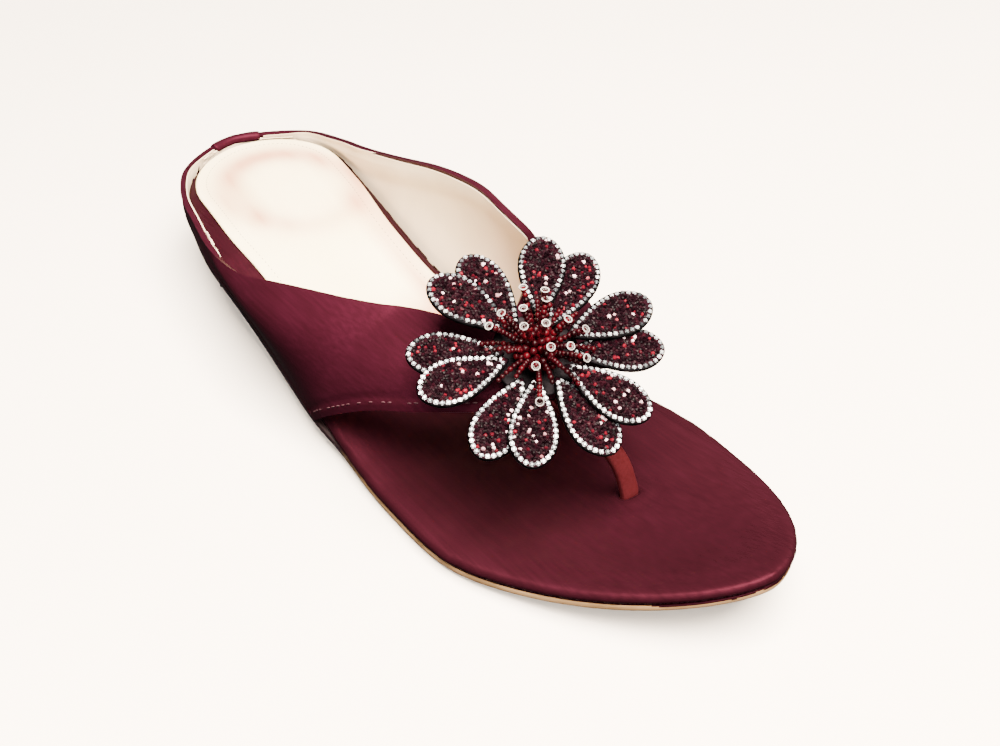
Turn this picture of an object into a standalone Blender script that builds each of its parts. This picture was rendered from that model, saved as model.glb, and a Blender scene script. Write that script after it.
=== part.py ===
"""Toe post sandal, right shoe: a satin band from a low heel over the instep, a toe post, and a flower of twelve plates.

The shoe stands on the floor at z = 0. +X runs to the toe, +Y to the big toe's side, and x = 0 is the heel's centre.
Lengths "along" are shares of the footbed's length from the heel's back, "across" are shares of the half width there,
and "lift" is a share of INSTEP_RISE above the level at which footbed and upper sit on the outsole.
"""

import math

import bpy
import bmesh
from mathutils import Vector
from mathutils.bvhtree import BVHTree

# Sizes of the last, in metres
LENGTH = 0.261
BALL_WIDTH = 0.087
HEEL_WIDTH = 0.066
HEEL_RISE = 0.0223
TOE_SPRING = 0.0152
HEEL_ROUND = 0.032
TOE_ROUND = 0.066
TOE_SWING = 0.006
INSTEP_RISE = 0.050
HEEL_CENTRE = 0.030

# Thicknesses of the layers and the gap between pieces that touch
GAP = 0.0003
OUTSOLE_THICK = 0.0028
OUTSOLE_EDGE = 0.0004
FOOTBED_THICK = 0.0030
FOOTBED_PAD = 0.0008
PAD_EDGE = 0.0050
FOOTBED_EDGE = 0.0008
SOCK_THICK = 0.0006
WALL = 0.0019

# Stations of the last's profile, as shares of its length
SEAT_END = 0.195
BALL_START = 0.637
SPRING_START = 0.715

# Plan of the footbed: each side's share of the width
PLAN = (
    # along, medial, lateral
    (0.00, 0.440, 0.43),
    (0.12, 0.395, 0.49),
    (0.23, 0.325, 0.59),
    (0.31, 0.282, 0.58),
    (0.40, 0.260, 0.55),
    (0.52, 0.320, 0.52),
    (0.64, 0.435, 0.52),
    (0.73, 0.490, 0.52),
    (0.83, 0.490, 0.48),
    (1.00, 0.480, 0.48),
)
WIDTH_FROM, WIDTH_TO = 0.20, 0.65
SWING_FROM = 0.75
TOE_BLUNT = 1.7
TOE_FULL = 0.6
SIDE_STEPS = 36
EDGE_STEP = 0.004

# The upper's ribs that start on the sole, from the lateral front corner round the heel to the medial one.
# forward: share of LENGTH that the top leans to the toe. inward: share of the half width that it leans in.
# belly: share of INSTEP_RISE that the rib swells outwards.
SIDE_RIBS = (
    # side, along, forward, inward, lift, belly
    (-1, 0.500, 0.028, 0.485, 0.748, 0.14),
    (-1, 0.455, 0.033, 0.340, 0.680, 0.16),
    (-1, 0.415, 0.023, 0.220, 0.566, 0.16),
    (-1, 0.375, 0.012, 0.110, 0.436, 0.13),
    (-1, 0.335, 0.004, 0.030, 0.300, 0.08),
    (-1, 0.290, 0.000, 0.000, 0.205, 0.04),
    (-1, 0.240, 0.000, 0.000, 0.160, 0.00),
    (-1, 0.175, 0.000, 0.000, 0.135, 0.00),
    (-1, 0.100, 0.000, 0.000, 0.128, 0.00),
    (-1, 0.035, 0.000, 0.000, 0.126, 0.00),
    (1, 0.000, 0.000, 0.000, 0.126, 0.00),
    (1, 0.040, 0.000, 0.000, 0.130, 0.00),
    (1, 0.115, -0.006, 0.030, 0.185, 0.00),
    (1, 0.200, -0.021, -0.060, 0.276, 0.02),
    (1, 0.280, -0.032, -0.180, 0.386, 0.02),
    (1, 0.350, -0.046, -0.240, 0.516, 0.03),
    (1, 0.410, -0.058, -0.210, 0.638, 0.04),
    (1, 0.470, -0.065, -0.030, 0.772, 0.05),
    (1, 0.525, -0.068, 0.140, 0.880, 0.06),
    (1, 0.570, -0.065, 0.300, 0.932, 0.07),
    (1, 0.610, -0.059, 0.390, 0.942, 0.08),
)
HEEL_ROW = 10
# The ribs of the strap over the instep, from the medial corner to the lateral one.
STRAP_RIBS = (
    # low_along, low_across, low_lift, top_along, top_across, top_lift, belly
    (0.624, 1.045, 0.130, 0.564, 0.700, 0.965, 0.08),
    (0.642, 0.940, 0.320, 0.582, 0.590, 0.985, 0.06),
    (0.667, 0.740, 0.470, 0.604, 0.400, 0.990, 0.04),
    (0.695, 0.500, 0.560, 0.624, 0.210, 0.970, 0.02),
    (0.718, 0.250, 0.610, 0.639, 0.050, 0.930, 0.01),
    (0.730, 0.000, 0.630, 0.647, -0.070, 0.900, 0.01),
    (0.724, -0.200, 0.620, 0.645, -0.170, 0.880, 0.01),
    (0.702, -0.400, 0.580, 0.632, -0.240, 0.865, 0.02),
    (0.668, -0.580, 0.540, 0.609, -0.290, 0.850, 0.03),
    (0.630, -0.730, 0.480, 0.588, -0.345, 0.830, 0.04),
    (0.588, -0.860, 0.390, 0.569, -0.390, 0.805, 0.07),
    (0.552, -0.960, 0.260, 0.554, -0.435, 0.782, 0.10),
    (0.523, -1.030, 0.130, 0.541, -0.485, 0.764, 0.12),
)
RIB_STEPS = 4
HEIGHT_STEPS = 8
ROWS_TO_FREE = 4
CORE_LIFT = 0.3
BELLY_LOW = 0.85
# The outsole's rim beside the footbed carries the upper, and fades out past the upper's front corners.
RIM_FADE_FROM, RIM_FADE_TO = 0.00, 0.045

SOCK_END = 0.50
SOCK_MARGIN = 0.0024
SOCK_LATERAL_MORE = 0.0060
SOCK_MORE_FROM, SOCK_MORE_TO = 0.03, 0.30
SOCK_STEPS = 24

# The tab over the heel's top edge
TAB_THICK = 0.0006
TAB_OUTSIDE = 0.0012
TAB_INSIDE = 0.0016
TAB_ROWS = 0.39
TAB_STEPS = 3

# The heel block under the seat, and the top lift that stands on the floor
HEEL_BREAST = 0.200
HEEL_INSET = 0.0004
HEEL_TAPER = 0.0095
HEEL_CURVE = 0.38
HEEL_SHIFT = 0.002
HEEL_STEPS = 14
HEEL_LEVELS = 5
TOP_LIFT_THICK = 0.0050

# The toe post: a flat strap from a slot in the footbed, under the band's front edge
POST_WIDE = 0.0056
POST_THICK = 0.0028
POST_ROOM = 0.0006
POST_FREE = (
    # along, across, lift
    (0.798, 0.143, 0.006),
    (0.797, 0.140, 0.120),
    (0.782, 0.075, 0.360),
)
POST_UNDER = (
    # along, across
    (0.720, -0.070),
    (0.698, -0.080),
)
POST_STEPS = 5
POST_SIDES = 12
SLOT_PAST = 0.003

# The flower: its place on the band, and how its axis leans to the toe and to the medial side
FLOWER_ALONG = 0.694
FLOWER_ACROSS = -0.095
FLOWER_LEAN_TOE = 0.415
FLOWER_LEAN_MEDIAL = -0.17
PLATE_RADIUS = 0.012
PLATE_THICK = 0.0010
PLATE_LIFT = 0.0025
PLATE_FOOT = 0.008
FOOT_SHARES = (0.25, 0.6, 1.0)
HUB_RADIUS = 0.0077
HUB_SIDES = 20
HUB_ROWS = (
    # radius as a share of HUB_RADIUS, height over the backing
    (1.00, 0.0000),
    (1.00, 0.0052),
    (0.86, 0.0068),
    (0.58, 0.0079),
    (0.24, 0.0084),
)
PETAL_TIP = 0.034
PETAL_WIDTH = 0.0132
PETAL_EDGE = 0.0016
PETAL_CROWN = 0.0006
PETAL_CUP = 0.0004
PETAL_WIDEST = 0.65
PETAL_STEPS = 12
PETALS = 6
PETAL_ROWS = (
    # size as a share of the outline, height as a share of PETAL_EDGE, and of PETAL_CROWN
    (0.93, 0.00, 0.0),
    (1.00, 0.25, 0.0),
    (1.00, 0.80, 0.0),
    (0.95, 1.00, 0.0),
    (0.52, 1.00, 1.0),
)
TOP_PETALS_TURN = math.radians(19)
LOW_PETALS_TURN = math.radians(-3)

SATIN = ((0.26, 0.035, 0.06), 0.38)
TAN = ((0.62, 0.40, 0.24), 0.45)
CREAM = ((0.93, 0.90, 0.80), 0.6)
RUBBER = ((0.05, 0.04, 0.035), 0.7)
STRAP_RED = ((0.30, 0.04, 0.035), 0.45)
CRYSTAL = ((0.10, 0.008, 0.016), 0.2)
GUNMETAL = ((0.06, 0.055, 0.06), 0.35, 0.8)


def smooth(t):
    t = min(max(t, 0.0), 1.0)
    return t * t * (3 - 2 * t)


def hermite(a, b, slope_a, slope_b, span, t):
    """The cubic from a to b, with the slopes given per unit of the span."""
    return (
        (1 + 2 * t) * (1 - t) ** 2 * a
        + t * (1 - t) ** 2 * span * slope_a
        + t * t * (3 - 2 * t) * b
        + t * t * (t - 1) * span * slope_b
    )


def read(rows, at, column):
    """A column of a table at any value of its first column, along a smooth curve."""
    at = min(max(at, rows[0][0]), rows[-1][0])
    slopes = []
    for i in range(len(rows)):
        before, after = rows[max(i - 1, 0)], rows[min(i + 1, len(rows) - 1)]
        slopes.append((after[column] - before[column]) / (after[0] - before[0]))
    for i in range(len(rows) - 1):
        low, high = rows[i], rows[i + 1]
        if at <= high[0]:
            span = high[0] - low[0]
            return hermite(low[column], high[column], slopes[i], slopes[i + 1], span, (at - low[0]) / span)


def catmull_of(a, b, c, d, t):
    return b + 0.5 * t * (c - a + t * (2 * a - 5 * b + 4 * c - d + t * (3 * (b - c) + d - a)))


def closed_catmull(rows, at):
    """A row between the rows of a table whose end joins its start."""
    i = math.floor(at)
    a, b, c, d = (rows[(i + k) % len(rows)] for k in (-1, 0, 1, 2))
    return catmull_of(a, b, c, d, at - i)


def open_catmull(rows, at):
    """A row between the rows of a table with ends."""
    last = len(rows) - 1
    i = min(math.floor(at), last - 1)
    b, c = rows[i], rows[i + 1]
    a = rows[i - 1] if i > 0 else 2 * b - c
    d = rows[i + 2] if i + 2 <= last else 2 * c - b
    return catmull_of(a, b, c, d, at - i)


def place_x(along):
    return along * LENGTH - HEEL_CENTRE


def half_width(along, side):
    """Distance from the shoe's axis to the footbed's edge, on the medial side (1) or the lateral side (-1)."""
    width = HEEL_WIDTH + (BALL_WIDTH - HEEL_WIDTH) * smooth((along - WIDTH_FROM) / (WIDTH_TO - WIDTH_FROM))
    heel = min(along * LENGTH / HEEL_ROUND, 1.0)
    toe = min((1 - along) * LENGTH / TOE_ROUND, 1.0)
    heel_round = math.sqrt(max(1 - (1 - heel) ** 2, 0.0))
    toe_round = max(1 - (1 - toe) ** TOE_BLUNT, 0.0) ** TOE_FULL
    return width * read(PLAN, along, 1 if side > 0 else 2) * heel_round * toe_round


def axis_y(along):
    return TOE_SWING * smooth((along - SWING_FROM) / (1 - SWING_FROM))


def turn_of(along):
    return math.acos(1 - 2 * min(max(along, 0.0), 1.0)) / math.pi


def along_of(turn):
    return (1 - math.cos(math.pi * abs(turn))) / 2


def edge(turn):
    """The footbed's edge in plan. turn runs from -1 (toe) by the lateral side to 0 (heel) and by the medial side to 1."""
    along = along_of(turn)
    side = 1 if turn >= 0 else -1
    return Vector((place_x(along), axis_y(along) + side * half_width(along, side), 0))


def edge_out(turn, out):
    """A point of the edge moved outwards, square to the edge in plan."""
    before, after = turn - EDGE_STEP, turn + EDGE_STEP
    if after > 1:
        after -= 2
    if before < -1:
        before += 2
    run = (edge(after) - edge(before)).normalized()
    return edge(turn) + Vector((-run.y, run.x, 0)) * out


def floor_z(x):
    """Height of the outsole's underside."""
    along = (x + HEEL_CENTRE) / LENGTH
    rise = HEEL_RISE * (1 - smooth((along - SEAT_END) / (BALL_START - SEAT_END)))
    spring = TOE_SPRING * (max(along - SPRING_START, 0.0) / (1 - SPRING_START)) ** 2
    return rise + spring


def seat_z(x):
    """Height at which footbed and upper sit on the outsole."""
    return floor_z(x) + OUTSOLE_THICK + GAP


def on_seat(turn, out):
    """A point on the outsole's top, a little outside the footbed's edge."""
    point = edge_out(turn, out)
    point.z = seat_z(point.x)
    return point


def over_bed(along, across, lift):
    """A point over the footbed, from its shares of length, half width and instep."""
    x = place_x(along)
    side = 1 if across > 0 else -1
    return Vector((x, axis_y(along) + across * half_width(along, side), seat_z(x) + lift * INSTEP_RISE))


def material(name, colour, roughness, metallic=0.0):
    made = bpy.data.materials.new(name)
    made.use_nodes = True
    surface = made.node_tree.nodes["Principled BSDF"]
    surface.inputs["Base Color"].default_value = (*colour, 1)
    surface.inputs["Roughness"].default_value = roughness
    surface.inputs["Metallic"].default_value = metallic
    return made


def piece(name, mesh, finish):
    """An object from a bmesh, shaded smooth, with its own material."""
    bmesh.ops.recalc_face_normals(mesh, faces=mesh.faces)
    data = bpy.data.meshes.new(name)
    mesh.to_mesh(data)
    mesh.free()
    data.shade_smooth()
    data.set_sharp_from_angle(angle=math.radians(40))
    data.materials.append(material(name + "_finish", *finish))
    made = bpy.data.objects.new(name, data)
    bpy.context.scene.collection.objects.link(made)
    return made


def stacked(rings):
    """A closed body from rings of points. Both ends are closed by strips that join each point of the first half of
    the ring to its partner in the second half, so a ring starts at one end of its outline."""
    mesh = bmesh.new()
    loops = [[mesh.verts.new(point) for point in ring] for ring in rings]
    count = len(rings[0])
    for low, high in zip(loops, loops[1:]):
        for i in range(count):
            j = (i + 1) % count
            mesh.faces.new((low[i], low[j], high[j], high[i]))
    for loop in (loops[0], loops[-1]):
        for i in range(count // 2):
            corners = (loop[i], loop[i + 1], loop[-1 - i], loop[-i] if i else loop[0])
            mesh.faces.new(list(dict.fromkeys(corners)))
    return mesh


def plan_layer(name, rows, finish, margin=lambda turn: 0.0):
    """A layer that follows the sole. Each row is an inset from its edge and a height over the outsole's underside."""
    turns = [i / SIDE_STEPS for i in range(SIDE_STEPS + 1)]
    turns += [-turn for turn in reversed(turns[1:-1])]
    rings = []
    for inset, height in rows:
        ring = [edge_out(turn, margin(turn) - inset) for turn in turns]
        rings.append([Vector((p.x, p.y, floor_z(p.x) + height)) for p in ring])
    return piece(name, stacked(rings), finish)


def rim_margin(turn):
    """How far the outsole reaches past the footbed, to carry the upper's wall."""
    corner = SIDE_RIBS[-1][1] if turn > 0 else SIDE_RIBS[0][1]
    past = along_of(turn) - corner
    return (WALL + GAP) * (1 - smooth((past - RIM_FADE_FROM) / (RIM_FADE_TO - RIM_FADE_FROM)))


def make_outsole():
    rows = (
        (2 * OUTSOLE_EDGE, 0.0),
        (0.0, 1.5 * OUTSOLE_EDGE),
        (0.0, OUTSOLE_THICK - OUTSOLE_EDGE),
        (OUTSOLE_EDGE, OUTSOLE_THICK),
    )
    return plan_layer("outsole", rows, TAN, rim_margin)


def make_footbed():
    base = OUTSOLE_THICK + GAP
    top = base + FOOTBED_THICK
    rows = (
        (FOOTBED_EDGE, base),
        (0.0, base + FOOTBED_EDGE),
        (0.0, top - FOOTBED_EDGE),
        (0.5 * FOOTBED_EDGE, top - 0.35 * FOOTBED_EDGE),
        (1.7 * FOOTBED_EDGE, top),
        (PAD_EDGE, top + FOOTBED_PAD),
    )
    return plan_layer("footbed", rows, SATIN)


def sock_ring(height):
    """The heel sock's outline: inset from the footbed's edge, and straight across the waist."""
    end = turn_of(SOCK_END)
    ring = [edge_out(end * i / SOCK_STEPS, -SOCK_MARGIN) for i in range(SOCK_STEPS + 1)]
    for i in range(SOCK_STEPS, 0, -1):
        turn = -end * i / SOCK_STEPS
        more = SOCK_LATERAL_MORE * smooth((along_of(turn) - SOCK_MORE_FROM) / (SOCK_MORE_TO - SOCK_MORE_FROM))
        ring.append(edge_out(turn, -SOCK_MARGIN - more))
    return [Vector((p.x, p.y, seat_z(p.x) + FOOTBED_THICK + FOOTBED_PAD + height)) for p in ring]


def make_sock():
    return piece("heel_sock", stacked([sock_ring(GAP), sock_ring(GAP + SOCK_THICK)]), CREAM)


def rib_rows():
    """Each row of the tables as its turn (None on the strap), low point, top point and belly, in one closed order."""
    rows = []
    for side, along, forward, inward, lift, belly in SIDE_RIBS:
        turn = side * turn_of(along)
        low = on_seat(turn, GAP + WALL)
        top_x = low.x + forward * LENGTH
        top_y = low.y - side * inward * half_width(along, side)
        top = Vector((top_x, top_y, seat_z(top_x) + lift * INSTEP_RISE))
        rows.append((turn, low, top, belly))
    for low_along, low_across, low_lift, top_along, top_across, top_lift, belly in STRAP_RIBS:
        low = over_bed(low_along, low_across, low_lift)
        rows.append((None, low, over_bed(top_along, top_across, top_lift), belly))
    return rows


def ribs():
    """Every rib of the upper, RIB_STEPS to a row of the tables: turn (None off the sole), low and top point, belly,
    and how free it is of the sole, from 0 to 1."""
    rows = rib_rows()
    corner = len(SIDE_RIBS) - 1
    turns = [row[0] for row in rows[: corner + 1]]
    lows, tops, bellies = ([row[column] for row in rows] for column in (1, 2, 3))
    strap = [lows[corner]] + lows[corner + 1 :] + [lows[0]]
    made = []
    for i in range(len(rows) * RIB_STEPS):
        at = i / RIB_STEPS
        turn = open_catmull(turns, at) if at <= corner else None
        low = open_catmull(strap, at - corner) if turn is None else on_seat(turn, GAP + WALL)
        from_corner = min(at - corner, len(rows) - at)
        free = min(max(from_corner / ROWS_TO_FREE, 0.0), 1.0)
        made.append((turn, low, closed_catmull(tops, at), closed_catmull(bellies, at), free))
    return made


def rib_point(rib, step):
    """A point of the outer face. A rib on the sole stands upright beside the footbed first."""
    turn, low, top, belly, free = rib
    share = step / HEIGHT_STEPS
    if turn is not None:
        if step == 0:
            return low
        low = low + Vector((0, 0, FOOTBED_THICK + FOOTBED_PAD + GAP))
        share = (step - 1) / (HEIGHT_STEPS - 1)
    chord = top - low
    middle = (low + top) / 2
    core_x = max(middle.x, HEEL_ROUND - HEEL_CENTRE)
    out = middle - Vector((core_x, 0, seat_z(core_x) + CORE_LIFT * INSTEP_RISE))
    out.z *= free
    out -= chord * (out.dot(chord) / chord.length_squared)
    swell = belly * INSTEP_RISE * math.sin(math.pi * share**BELLY_LOW)
    return low + chord * share + out.normalized() * swell


def wall_grids():
    """The upper's outer and inner face as columns of points, one column a rib, lowest point first."""
    made = ribs()
    outer = [[rib_point(rib, j) for j in range(HEIGHT_STEPS + 1)] for rib in made]
    inner = []
    for i, rib in enumerate(made):
        column = []
        for j in range(HEIGHT_STEPS + 1):
            along = outer[(i + 1) % len(outer)][j] - outer[i - 1][j]
            up = outer[i][min(j + 1, HEIGHT_STEPS)] - outer[i][max(j - 1, 0)]
            seated = j == 0 and rib[0] is not None
            column.append(on_seat(rib[0], GAP) if seated else outer[i][j] - up.cross(along).normalized() * WALL)
        inner.append(column)
    return outer, inner


def make_upper(outer, inner):
    mesh = bmesh.new()
    out_verts = [[mesh.verts.new(p) for p in column] for column in outer]
    in_verts = [[mesh.verts.new(p) for p in column] for column in inner]
    for i in range(len(outer)):
        k = (i + 1) % len(outer)
        for j in range(HEIGHT_STEPS):
            mesh.faces.new((out_verts[i][j], out_verts[k][j], out_verts[k][j + 1], out_verts[i][j + 1]))
            mesh.faces.new((in_verts[i][j], in_verts[i][j + 1], in_verts[k][j + 1], in_verts[k][j]))
        mesh.faces.new((out_verts[i][0], in_verts[i][0], in_verts[k][0], out_verts[k][0]))
        mesh.faces.new((out_verts[i][-1], out_verts[k][-1], in_verts[k][-1], in_verts[i][-1]))
    return piece("upper", mesh, SATIN)


def column_at(grid, at):
    """A column of a grid between two of its ribs, on the flat faces between them."""
    i = math.floor(at)
    return [low.lerp(high, at - i) for low, high in zip(grid[i], grid[i + 1])]


def make_back_tab(outer, inner):
    """A tab folded over the top edge at the heel, from the upper's own faces."""
    up = Vector((0, 0, 1))
    rings = []
    for k in range(-TAB_STEPS, TAB_STEPS + 1):
        at = (HEEL_ROW + TAB_ROWS * k / TAB_STEPS) * RIB_STEPS
        wall = column_at(outer, at)
        top, top_in = wall[-1], column_at(inner, at)[-1]
        out = Vector((top.x - top_in.x, top.y - top_in.y, 0)).normalized()
        foot = wall[1]
        # Each place on the wall, and which way the tab's thickness goes from it
        path = (
            (foot - up * TAB_OUTSIDE + out * GAP, out),
            (foot + out * GAP, out),
            (wall[HEIGHT_STEPS // 2] + out * GAP, out),
            (top + (out + up) * GAP, out * 0.6 + up),
            (top_in + (up - out) * GAP, up - out * 0.6),
            (top_in - out * GAP - up * TAB_INSIDE, -out),
        )
        near = [place for place, way in path]
        far = [place + way * TAB_THICK for place, way in path]
        rings.append([(near[0] + far[0]) / 2] + near + [(near[-1] + far[-1]) / 2] + far[::-1])
    return piece("back_tab", stacked(rings), SATIN)


def heel_plan(level):
    """The heel block in plan, closed across the breast, as points and the x of the seat over each.
    level is 0 at the seat and 1 at the floor."""
    end = turn_of(HEEL_BREAST)
    out = WALL + GAP - HEEL_INSET - HEEL_TAPER * level
    turns = [end * i / HEEL_STEPS for i in range(HEEL_STEPS + 1)]
    turns += [-turn for turn in reversed(turns[1:])]
    ring = [edge_out(turn, out) for turn in turns]
    back = ring[0].x
    shrink = 1 - HEEL_CURVE * level
    return [(back + (p.x - back) * shrink + HEEL_SHIFT * level, p.y, p.x) for p in ring]


def make_heel():
    rings = []
    for i in range(HEEL_LEVELS + 1):
        level = 1 - i / HEEL_LEVELS
        low, high = TOP_LIFT_THICK + GAP, -GAP
        rings.append(
            [Vector((x, y, low * level + (floor_z(seat_x) + high) * (1 - level))) for x, y, seat_x in heel_plan(level)]
        )
    return piece("heel_block", stacked(rings), SATIN)


def make_top_lift():
    rings = [[Vector((x, y, z)) for x, y, seat_x in heel_plan(1.0)] for z in (0.0, TOP_LIFT_THICK)]
    return piece("top_lift", stacked(rings), RUBBER)


def drop_on(band, place, way):
    """Where a line from the place meets the band, and the face's normal there."""
    found = band.ray_cast(place, way)
    return found[0], found[1]


def swept(points, wide, thick):
    """A flat strap with round edges along the points. Its width lies across the shoe."""
    rings = []
    for i, place in enumerate(points):
        run = (points[min(i + 1, len(points) - 1)] - points[max(i - 1, 0)]).normalized()
        across = Vector((0, 1, 0))
        across = (across - run * across.dot(run)).normalized()
        front = run.cross(across)
        ring = []
        for k in range(POST_SIDES):
            angle = 2 * math.pi * k / POST_SIDES
            u = math.copysign(math.sqrt(abs(math.cos(angle))), math.cos(angle))
            v = math.copysign(math.sqrt(abs(math.sin(angle))), math.sin(angle))
            ring.append(place + across * (u * wide / 2) + front * (v * thick / 2))
        rings.append(ring)
    return stacked(rings)


def make_post(band, footbed):
    """The toe post, and the slot that it stands in."""
    path = [over_bed(*row) for row in POST_FREE]
    for along, across in POST_UNDER:
        place, normal = drop_on(band, over_bed(along, across, CORE_LIFT), Vector((0, 0, 1)))
        path.append(place + normal * (POST_ROOM + POST_THICK / 2))
    steps = POST_STEPS * (len(path) - 1)
    strap = [open_catmull(path, i / POST_STEPS) for i in range(steps + 1)]
    piece("toe_post", swept(strap, POST_WIDE, POST_THICK), STRAP_RED)
    inside = strap[: POST_STEPS + 1]
    slot = swept([inside[0] - Vector((0, 0, SLOT_PAST))] + inside, POST_WIDE + 2 * GAP, POST_THICK + 2 * GAP)
    cutter = piece("post_slot", slot, STRAP_RED)
    cutter.hide_render = True
    cutter.display_type = "WIRE"
    cut = footbed.modifiers.new("post_slot", "BOOLEAN")
    cut.operation = "DIFFERENCE"
    cut.solver = "EXACT"
    cut.object = cutter


def flower_frame(band):
    """The flower's place on the band, its axis, and the directions of its plane: to the toe and to the medial side."""
    high = over_bed(FLOWER_ALONG, FLOWER_ACROSS, 2.0)
    centre, normal = drop_on(band, high, Vector((0, 0, -1)))
    axis = Vector((FLOWER_LEAN_TOE, FLOWER_LEAN_MEDIAL, 0))
    axis.z = math.sqrt(1 - axis.length_squared)
    ahead = Vector((1, 0, 0))
    ahead = (ahead - axis * ahead.dot(axis)).normalized()
    return centre, axis, ahead, axis.cross(ahead)


def disc_ring(frame, radius, height):
    centre, axis, ahead, side = frame
    ring = []
    for k in range(HUB_SIDES):
        angle = 2 * math.pi * k / HUB_SIDES
        ring.append(centre + axis * height + (ahead * math.cos(angle) + side * math.sin(angle)) * radius)
    return ring


def make_backing(band, frame):
    """The plate that carries the flower. Its underside follows the band."""
    top = PLATE_LIFT + PLATE_THICK
    axis = frame[1]
    rings = []
    for share in FOOT_SHARES:
        ring = []
        for place in disc_ring(frame, PLATE_FOOT * share, top):
            found, normal = drop_on(band, place, -axis)
            ring.append(found + axis * GAP)
        rings.append(ring)
    rings += [disc_ring(frame, PLATE_RADIUS, top - PLATE_THICK / 2), disc_ring(frame, PLATE_RADIUS, top)]
    return piece("flower_backing", stacked(rings), GUNMETAL)


def make_centre(frame):
    """The dome in the middle, inside both rings of petals."""
    base = PLATE_LIFT + PLATE_THICK + GAP
    rings = [disc_ring(frame, HUB_RADIUS * share, base + height) for share, height in HUB_ROWS]
    return piece("flower_centre", stacked(rings), CRYSTAL)


def petal_width(share):
    """Half width of a petal from its inner end (0) to its tip (1): narrow inside, widest past the middle, round tip."""
    bend = math.log(0.5) / math.log(PETAL_WIDEST)
    return PETAL_WIDTH / 2 * math.sqrt(max(math.sin(math.pi * share**bend), 0.0))


def make_petal(name, frame, heading, base):
    centre, axis, ahead, side = frame
    out = ahead * math.cos(heading) + side * math.sin(heading)
    across = axis.cross(out)
    inner = HUB_RADIUS + GAP
    length = PETAL_TIP - inner
    rings = []
    for size, edge_share, crown_share in PETAL_ROWS:
        height = base + edge_share * PETAL_EDGE + crown_share * PETAL_CROWN
        ring = []
        for k in range(2 * PETAL_STEPS):
            share = (1 - math.cos(math.pi * k / PETAL_STEPS)) / 2
            half = petal_width(share) * size * (1 if k < PETAL_STEPS else -1)
            share = PETAL_WIDEST + (share - PETAL_WIDEST) * size
            rise = height + PETAL_CUP * share**2
            ring.append(centre + out * (inner + length * share) + across * half + axis * rise)
        rings.append(ring)
    return piece(name, stacked(rings), CRYSTAL)


def make_petals(frame):
    """Two rings of petals on the backing, the upper ring on the lower one."""
    low = PLATE_LIFT + PLATE_THICK + GAP
    top = low + PETAL_EDGE + PETAL_CROWN + GAP
    for name, first, base in (("petal_low", LOW_PETALS_TURN, low), ("petal_top", TOP_PETALS_TURN, top)):
        for k in range(PETALS):
            make_petal(f"{name}_{k + 1}", frame, first + 2 * math.pi * k / PETALS, base)


def main():
    for thing in list(bpy.data.objects):
        bpy.data.objects.remove(thing, do_unlink=True)
    make_outsole()
    footbed = make_footbed()
    make_sock()
    outer, inner = wall_grids()
    upper = make_upper(outer, inner).data
    make_back_tab(outer, inner)
    make_heel()
    make_top_lift()
    band = BVHTree.FromPolygons([v.co for v in upper.vertices], [p.vertices for p in upper.polygons])
    make_post(band, footbed)
    frame = flower_frame(band)
    make_backing(band, frame)
    make_centre(frame)
    make_petals(frame)


main()
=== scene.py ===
"""Toe post sandal, right shoe, in satin: the pieces that show, their finishes, studio light and the camera.

All lengths are in metres. +X runs to the toe, +Y to the big toe's side, +Z up, and the floor is at z = 0.
"""

import math
import random

import bpy
import bmesh
from mathutils import Matrix, Vector
from mathutils.bvhtree import BVHTree
from mathutils.kdtree import KDTree


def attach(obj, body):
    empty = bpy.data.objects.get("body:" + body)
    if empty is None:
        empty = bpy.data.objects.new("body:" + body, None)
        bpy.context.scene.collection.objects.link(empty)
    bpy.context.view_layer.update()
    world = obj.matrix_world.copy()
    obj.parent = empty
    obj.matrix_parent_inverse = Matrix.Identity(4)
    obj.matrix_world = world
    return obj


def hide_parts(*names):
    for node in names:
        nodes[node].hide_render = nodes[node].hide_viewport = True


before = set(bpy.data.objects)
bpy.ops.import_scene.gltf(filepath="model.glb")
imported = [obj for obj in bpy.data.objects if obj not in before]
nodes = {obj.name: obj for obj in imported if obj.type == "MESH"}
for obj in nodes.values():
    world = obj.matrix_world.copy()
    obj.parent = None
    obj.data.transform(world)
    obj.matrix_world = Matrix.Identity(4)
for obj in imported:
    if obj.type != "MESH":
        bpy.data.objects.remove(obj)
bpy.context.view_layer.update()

MM = 0.001
MERGE = 0.001 * MM
random.seed(7)

# The camera, from the photograph's own perspective
CAMERA_PLACE = (0.3685, -0.1710, 0.2427)
CAMERA_AZIMUTH = math.radians(54.4)
CAMERA_HEIGHT = math.radians(36.9)
CAMERA_ROLL = math.radians(-1.2)
LENS = 46.9
SENSOR = 36.0

# The upper: where the lining starts below the top edge, its lip, and the hem along the strap's front edge
SATIN_TURN = 0.95 * MM
FRONT_TURN = 5.0 * MM
LINING_LIFT = 0.10 * MM
LINING_THICK = 0.40 * MM
LINING_CLEAR = 0.30 * MM
TAB_CLEAR = 1.1 * MM
# The lining, lasted round the wall: its padded lip below the top edge, where the lip fades near the footbed, and the
# trough below it; then the hem along the strap's front edge
LIP_DEEP = 8.5 * MM
LIP_RISE = 0.45 * MM
LIP_FADE_FROM = 0.8 * MM
LIP_FADE = 3.0 * MM
TROUGH_DEEP = 0.10 * MM
TROUGH_WIDE = 2.0 * MM
HEM_WIDE = 2.7 * MM
HEM_BACK = 0.9 * MM
HEM_GROOVE = 0.45 * MM
HEM_GROOVE_WIDE = 0.9 * MM
HEM_SWELL = 0.18 * MM
HEM_SWELL_WIDE = 1.2 * MM
HEM_STITCH = 2.1 * MM
HEM_THREAD = 1.5 * MM
HEM_THREAD_LIFT = 0.10 * MM

# The wall: the turn between two of its sides, its folded edges, and how far from them it is evened out
SIDE_TURN = 55
EDGE_ROUND = 0.5 * MM
EVEN_FROM = 1.0 * MM
EVEN_OVER = 4.0 * MM
EVEN_ROUNDS = 160

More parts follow.
